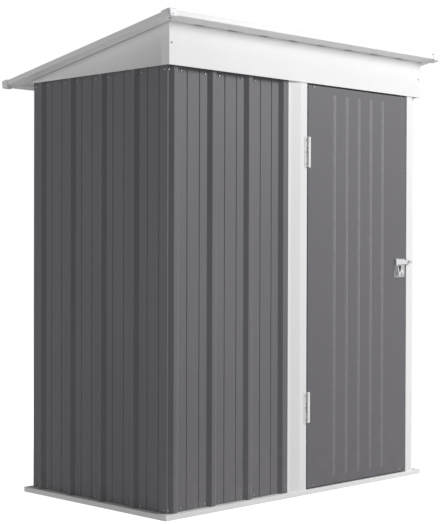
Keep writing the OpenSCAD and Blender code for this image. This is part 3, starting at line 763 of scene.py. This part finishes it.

# %% [markdown]
# The mouth of the pull is hollow on the real casting, so that a finger can hook in from
# above, and looks black with shade. It is a blind hollow a few millimetres deep; a black
# wedge let into the front paints that shade on the pull and leaves the solid as it is.

# %% Let the mouth's painted shade into the pull
pull_front = [v.co for v in nodes["latch_plate"].data.vertices
              if v.co.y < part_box("latch_plate")[0].y + 0.01 * MM]
pull_top, pull_foot = max(p.z for p in pull_front), min(p.z for p in pull_front)
brim = sorted(p.x for p in pull_front if p.z > pull_top - 0.1 * MM)
mouth_x = (brim[0] + brim[-1]) / 2
WALL_OF_PULL = 3.5 * MM
FOOT_HALF = 1.5 * MM
MOUTH_PROUD, MOUTH_SUNK = 0.15 * MM, 0.5 * MM
mouth_half = (brim[-1] - brim[0]) / 2 - WALL_OF_PULL
mouth_y = pull_front[0].y
mouth_top = pull_top - 1.5 * MM
mouth_foot = pull_foot + 0.3 * (pull_top - pull_foot)
outline = [(mouth_x - mouth_half, mouth_top), (mouth_x - FOOT_HALF, mouth_foot),
           (mouth_x + FOOT_HALF, mouth_foot), (mouth_x + mouth_half, mouth_top)]
depths = (mouth_y - MOUTH_PROUD, mouth_y + MOUTH_SUNK)
verts = [(x, y, z) for y in depths for x, z in outline]
mouth = new_object("pull_mouth_painted_shade", verts, [(0, 1, 2, 3), (7, 6, 5, 4), (4, 5, 1, 0), (5, 6, 2, 1),
                                         (6, 7, 3, 2), (7, 4, 0, 3)])
dress(mouth, painted_shade_dark, "door", ())
print("mouth of the pull:", round(2 * mouth_half, 4), "m wide")

# %% [markdown]
# ## Screws
#
# About a hundred self-tapping screws show on the shed. Each is a shallow domed head with a
# cross recess, on a soft washer. One screw is described by a profile of radii and heights
# spun round an axis; the recess is made by pressing down four of its sixteen spokes. All
# the screws of one panel are joined in one mesh, which is far lighter than a hundred
# objects.

# %% Describe one screw
SPOKES = 16
SCREW_PROFILE = ((4.2, 0.0), (4.2, 0.6), (3.9, 0.9), (3.4, 0.9), (3.3, 1.5), (2.9, 2.1),
                 (2.2, 2.45), (1.9, 2.5), (0.5, 2.55))
RECESS_RINGS = (7, 8)
RECESS_DEPTH = 1.1 * MM
WASHER_RINGS = 3


def screw_parts(place, outward, size):
    """Points, faces and material numbers of one screw: 0 is the head, 1 the washer."""
    turn = Vector(outward).to_track_quat("Z", "Y")
    points, quads, kinds = [], [], []
    for ring, (radius, height) in enumerate(SCREW_PROFILE):
        for k in range(SPOKES):
            spoke = 2 * math.pi * k / SPOKES
            sunk = RECESS_DEPTH if ring in RECESS_RINGS and k % 4 == 0 else 0
            local = Vector((radius * MM * math.cos(spoke), radius * MM * math.sin(spoke),
                            height * MM - sunk))
            points.append(Vector(place) + turn @ (local * size))
    for ring in range(len(SCREW_PROFILE) - 1):
        for k in range(SPOKES):
            a, b = ring * SPOKES + k, ring * SPOKES + (k + 1) % SPOKES
            quads.append((a, b, b + SPOKES, a + SPOKES))
            kinds.append(1 if ring < WASHER_RINGS else 0)
    top = (len(SCREW_PROFILE) - 1) * SPOKES
    quads.append(tuple(range(top, top + SPOKES)))
    kinds.append(0)
    quads.append(tuple(reversed(range(SPOKES))))
    kinds.append(1)
    return points, quads, kinds


def screw_set(name, places, body="shed", washer=washer_rubber, size=1.0):
    """One mesh with a screw at each (place, outward direction)."""
    verts, faces, kinds = [], [], []
    for place, outward in places:
        points, quads, which = screw_parts(place, outward, size)
        faces += [tuple(len(verts) + i for i in quad) for quad in quads]
        verts += points
        kinds += which
    obj = new_object(name, verts, faces)
    obj.data.materials.append(screw_zinc)
    obj.data.materials.append(washer)
    obj.data.polygons.foreach_set("material_index", kinds)
    return dress(obj, screw_zinc, body, (), 50)


print("corners in one screw:", SPOKES * len(SCREW_PROFILE))

# %% [markdown]
# ## Where the screws go
#
# Each wall sheet is fixed in its pans, close to both sides of every rib, to the base rail
# below and to the top rail above. The ribs are found on the section that was traced before:
# they are its outermost flats. So the screws follow the sheets if the construction changes.

# %% Find the ribs and set the screws
BESIDE_RIB = 36 * MM
ABOVE_FOOT = 12 * MM
BELOW_HEAD = 18 * MM
FROM_SIDE = 8 * MM


def rib_middles(node, turn, along, outwards, outer_side):
    """Middles of the flats that lie furthest out in the node's section."""
    loop, _, _ = traced_section(node, turn)
    crest = outer_side(p[outwards] for p in loop)
    marks = sorted(p[along] for p in loop if abs(p[outwards] - crest) < 0.1 * MM)
    return [(a + b) / 2 for a, b in zip(marks[::2], marks[1::2])]


def wall_screws(name, node, turn, along, outwards, outer_side, direction, extra=(), skip_last=0):
    low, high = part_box(node)
    ribs = rib_middles(node, turn, along, outwards, outer_side)
    if skip_last:
        ribs = ribs[:-skip_last]
    axis = 0 if direction[1] else 1
    spots = [r + k * BESIDE_RIB for r in ribs for k in (-1, 1)]
    spots = [s for s in spots if low[axis] + FROM_SIDE < s < high[axis] - FROM_SIDE]
    spots += extra
    face = 1 - axis
    pan = widest_level(node, direction) * direction[face]
    places = []
    for z in (low.z + ABOVE_FOOT, high.z - BELOW_HEAD):
        for s in spots:
            place = [0, 0, z]
            place[axis], place[face] = s, pan
            places.append((place, direction))
    screw_set(name, places)
    return len(places)


CORNER_SCREW = 6 * MM
FLANGE_FRONT, FLANGE_BACK = 12 * MM, 10 * MM
side_low, side_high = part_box("left_wall")
flange_spots = [side_low.y + FLANGE_FRONT, side_high.y - FLANGE_BACK]
total = wall_screws("screws_front", "front_panel", ALONG_Z, 0, 1, min, (0, -1, 0),
                    [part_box("front_panel")[0].x + CORNER_SCREW], 1)
for side, outer_side, direction in (("left", min, (-1, 0, 0)), ("right", max, (1, 0, 0))):
    total += wall_screws("screws_" + side, side + "_wall", ALONG_Z, 1, 0, outer_side, direction,
                         flange_spots)
for side in ("left", "right"):
    total += wall_screws("screws_back_" + side, "back_wall_" + side, ALONG_Z, 0, 1, max,
                         (0, 1, 0))
print("wall screws:", total)

# %% [markdown]
# ## The other screws
#
# The fascia is held at its two ends, the roof sheets on their ribs over the beams and the
# edges. The roof's places are worked out with the roof turned level, where they are plain
# numbers, and are then turned back to the slope.

# %% Set the screws of the roof and the fascia
roof_back = LEVEL_ROOF.inverted()


def on_sheets(points):
    """Roof places, given level as (x, y, z), turned back to the slope, with the way up."""
    return [(roof_back @ Vector(p), roof_up) for p in points]


roof_rows = [sum(levelled_box("roof_beam_" + b, ALONG_Z)[1]) / 2 for b in ("front", "rear")]
sheet_span = levelled_box("roof_sheet_middle", ALONG_Z)[1]
FROM_EAVES = 22 * MM
roof_rows += [sheet_span[0] + FROM_EAVES, sheet_span[1] - FROM_EAVES]
roof_spots = []
for side in ("left", "middle", "right"):
    crest_z = levelled_box("roof_sheet_" + side, ALONG_Z)[2][1]
    ribs = rib_middles("roof_sheet_" + side, ALONG_Y @ LEVEL_ROOF, 1, 0, max)
    roof_spots += [(x, y, crest_z) for x in ribs for y in roof_rows]
screw_set("screws_roof", on_sheets(roof_spots), washer=washer_pale)

fascia_low, fascia_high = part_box("front_fascia")
FASCIA_SCREW = 12 * MM
FASCIA_SCREW_UP = 78 * MM
screw_z = fascia_low.z + FASCIA_SCREW_UP
screw_set("screws_fascia", [((x, fascia_low.y, screw_z), (0, -1, 0))
                            for x in (fascia_low.x + FASCIA_SCREW, fascia_high.x - FASCIA_SCREW)],
          washer=washer_pale)
print("roof screws:", len(roof_spots))

# %% [markdown]
# Each cap is held from its front by one screw sunk in a slot, a small oval of shade. The
# shade is painted as a thin dark inlay, level with the slope, near the lower edge.

# %% Paint the shade of the caps' screw slots
SLOT_HALF, SLOT_HIGH = 3.6 * MM, 1.4 * MM
SLOT_IN, SLOT_UP = 19 * MM, 9 * MM
SLOT_PROUD, SLOT_SUNK = 0.1 * MM, 0.6 * MM
RIM = 16
for corner in CORNERS:
    (x0, x1), (y0, y1), (z0, z1) = levelled_box("corner_cap_" + corner, ALONG_Z)
    middle_x = x0 + SLOT_IN if "left" in corner else x1 - SLOT_IN
    face, inwards = (y0, 1) if "front" in corner else (y1, -1)
    rim = []
    for k in range(RIM):
        angle = 2 * math.pi * k / RIM
        end = SLOT_HALF - SLOT_HIGH if math.cos(angle) > 0 else SLOT_HIGH - SLOT_HALF
        rim.append((middle_x + end + SLOT_HIGH * math.cos(angle), SLOT_HIGH * math.sin(angle)))
    depths = (face - SLOT_PROUD * inwards, face + SLOT_SUNK * inwards)
    points = [roof_back @ Vector((x, y, z0 + SLOT_UP + z)) for y in depths for x, z in rim]
    faces = [tuple(range(RIM)), tuple(range(2 * RIM - 1, RIM - 1, -1))]
    faces += [(RIM + k, RIM + (k + 1) % RIM, (k + 1) % RIM, k) for k in range(RIM)]
    mark = new_object("cap_slot_painted_shade_" + corner, points, faces)
    dress(mark, painted_shade_dark, "shed", ())
print("cap slots:", len(CORNERS))

# %% [markdown]
# The door skin is screwed to its frame at the corners, and each hinge leaf has three small
# screws down its middle.

# %% Set the screws of the door and the hinges
door_low, door_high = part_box("door_stile_left")[0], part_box("door_stile_right")[1]
DOOR_SCREW_IN = 34 * MM
DOOR_SCREW_UP, DOOR_SCREW_DOWN = 9 * MM, 6 * MM
door_spots = [((x, face_y, z), (0, -1, 0))
              for x in (door_low.x + DOOR_SCREW_IN, door_high.x - DOOR_SCREW_IN)
              for z in (door_low.z + DOOR_SCREW_UP, door_high.z - DOOR_SCREW_DOWN)]
screw_set("screws_door", door_spots, "door")
LEAF_MIDDLES = (("jamb", "shed", 0.36), ("door", "door", 0.64))
UP_THE_LEAF = (0.12, 0.5, 0.88)
SMALL_SCREW = 0.75
hinge_screws = 0
for part, body, share in LEAF_MIDDLES:
    leaf_spots = []
    for place in ("upper", "lower"):
        node = f"hinge_{place}_{part}_leaf"
        low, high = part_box(node)
        level = -widest_level(node, (0, -1, 0))
        leaf_spots += [((low.x + share * (high.x - low.x), level, low.z + k * (high.z - low.z)),
                        (0, -1, 0)) for k in UP_THE_LEAF]
    screw_set(f"screws_hinge_{part}", leaf_spots, body, washer_pale, SMALL_SCREW)
    hinge_screws += len(leaf_spots)
print("door and hinge screws:", len(door_spots) + hinge_screws)

# %% [markdown]
# ## A pale studio
#
# The walls should read as flat satin planes with dark flanks between them. That needs a
# light which grazes the flanks: a large soft box forty degrees to the right of the front,
# so that the faces turned to the left get little of it. It hangs twenty-five degrees up,
# where the satin of the door doesn't mirror it and where the roof's overhang throws a soft
# shade on the top of the fascia. A weak one behind the left side lights that wall without
# reaching the flanks turned to the front. A wide panel overhead whitens the ledges, and a
# dim surround fills the rest. The camera sees a white backdrop.

# %% Light the shed
def soft_box(name, towards, distance, width, height, brightness):
    """Rectangular light, seen from the shed in the direction given, turned to face it."""
    data = bpy.data.lights.new(name, "AREA")
    data.shape = "RECTANGLE"
    data.size, data.size_y = width, height
    data.energy = brightness * math.pi ** 2 * distance ** 2
    lamp = bpy.data.objects.new(name, data)
    bpy.context.scene.collection.objects.link(lamp)
    middle = Vector((0, 0, (cad_low.z + cad_high.z) / 2))
    lamp.location = middle + Vector(towards).normalized() * distance
    lamp.rotation_mode = "QUATERNION"
    lamp.rotation_quaternion = (middle - lamp.location).to_track_quat("-Z", "Y")
    return lamp


soft_box("key_light", (0.61, -0.75, 0.45), 7.0, 3.4, 2.8, 0.78)
soft_box("side_light", (-0.86, 0.51, 0.1), 7.0, 3.0, 3.0, 0.165)
soft_box("top_light", (0.10, -0.15, 1), 6.0, 4.0, 4.0, 0.26)

SURROUND = 0.12
world = bpy.data.worlds.new("surround")
bpy.context.scene.world = world
world.use_nodes = True
sky = world.node_tree
background = sky.nodes["Background"]
background.inputs["Color"].default_value = (1, 1, 1, 1)
rays = sky.nodes.new("ShaderNodeLightPath")
level = sky.nodes.new("ShaderNodeMapRange")
level.inputs["To Min"].default_value = SURROUND
level.inputs["To Max"].default_value = 1.0
sky.links.new(rays.outputs["Is Camera Ray"], level.inputs["Value"])
sky.links.new(level.outputs["Result"], background.inputs["Strength"])
bpy.context.scene.view_settings.view_transform = "Standard"
print("lights: key, side, top and a surround of", SURROUND)

# %% [markdown]
# ## The floor
#
# A shed catalogue wants a white floor that runs into a white background. Paper lit only from
# above turns grey in the distance, so studios use a table of milky acrylic with lamps below
# it. The floor here does the same: it glows, and the shed still throws a faint soft shadow
# on it. What the camera sees of the glow and what reaches the shed are set apart, because
# a floor bright enough to look white would light the undersides of the roof too strongly.

# %% Lay the floor
FLOOR_HALF = 30
FLOOR_WHITE = 0.90
FLOOR_BOUNCE = 0.36
FLOOR_GLOW = 0.28
floor = new_object("floor", [(-FLOOR_HALF, -FLOOR_HALF, 0), (FLOOR_HALF, -FLOOR_HALF, 0),
                             (FLOOR_HALF, FLOOR_HALF, 0), (-FLOOR_HALF, FLOOR_HALF, 0)],
                   [(0, 1, 2, 3)])
floor_finish, tree, shader, coords = new_finish("pale_floor")
speck = add_range(tree, add_noise(tree, coords, 3, 5), 0.3, 0.7, 0, 1)
tree.links.new(add_mix(tree, speck, (0.84, 0.84, 0.84), (0.88, 0.88, 0.88)),
               shader.inputs["Base Color"])
unseen = tree.nodes.new("ShaderNodeBsdfPrincipled")
unseen.inputs["Base Color"].default_value = (FLOOR_BOUNCE, FLOOR_BOUNCE, FLOOR_BOUNCE, 1)
for milky, glow in ((shader, FLOOR_WHITE), (unseen, FLOOR_GLOW)):
    milky.inputs["Roughness"].default_value = 0.9
    milky.inputs["Specular IOR Level"].default_value = 0.1
    milky.inputs["Emission Color"].default_value = (1, 1, 1, 1)
    milky.inputs["Emission Strength"].default_value = glow
chooser = tree.nodes.new("ShaderNodeMixShader")
seen = tree.nodes.new("ShaderNodeLightPath")
tree.links.new(seen.outputs["Is Camera Ray"], chooser.inputs["Fac"])
tree.links.new(unseen.outputs["BSDF"], chooser.inputs[1])
tree.links.new(shader.outputs["BSDF"], chooser.inputs[2])
tree.links.new(chooser.outputs["Shader"], tree.nodes["Material Output"].inputs["Surface"])
floor.data.materials.append(floor_finish)
print("floor:", 2 * FLOOR_HALF, "m square")

# %% [markdown]
# ## The overall size
#
# Last, the overall size of the construction is printed.

# %% Print the construction's size
print("construction:", [round(c, 4) for c in cad_high - cad_low])
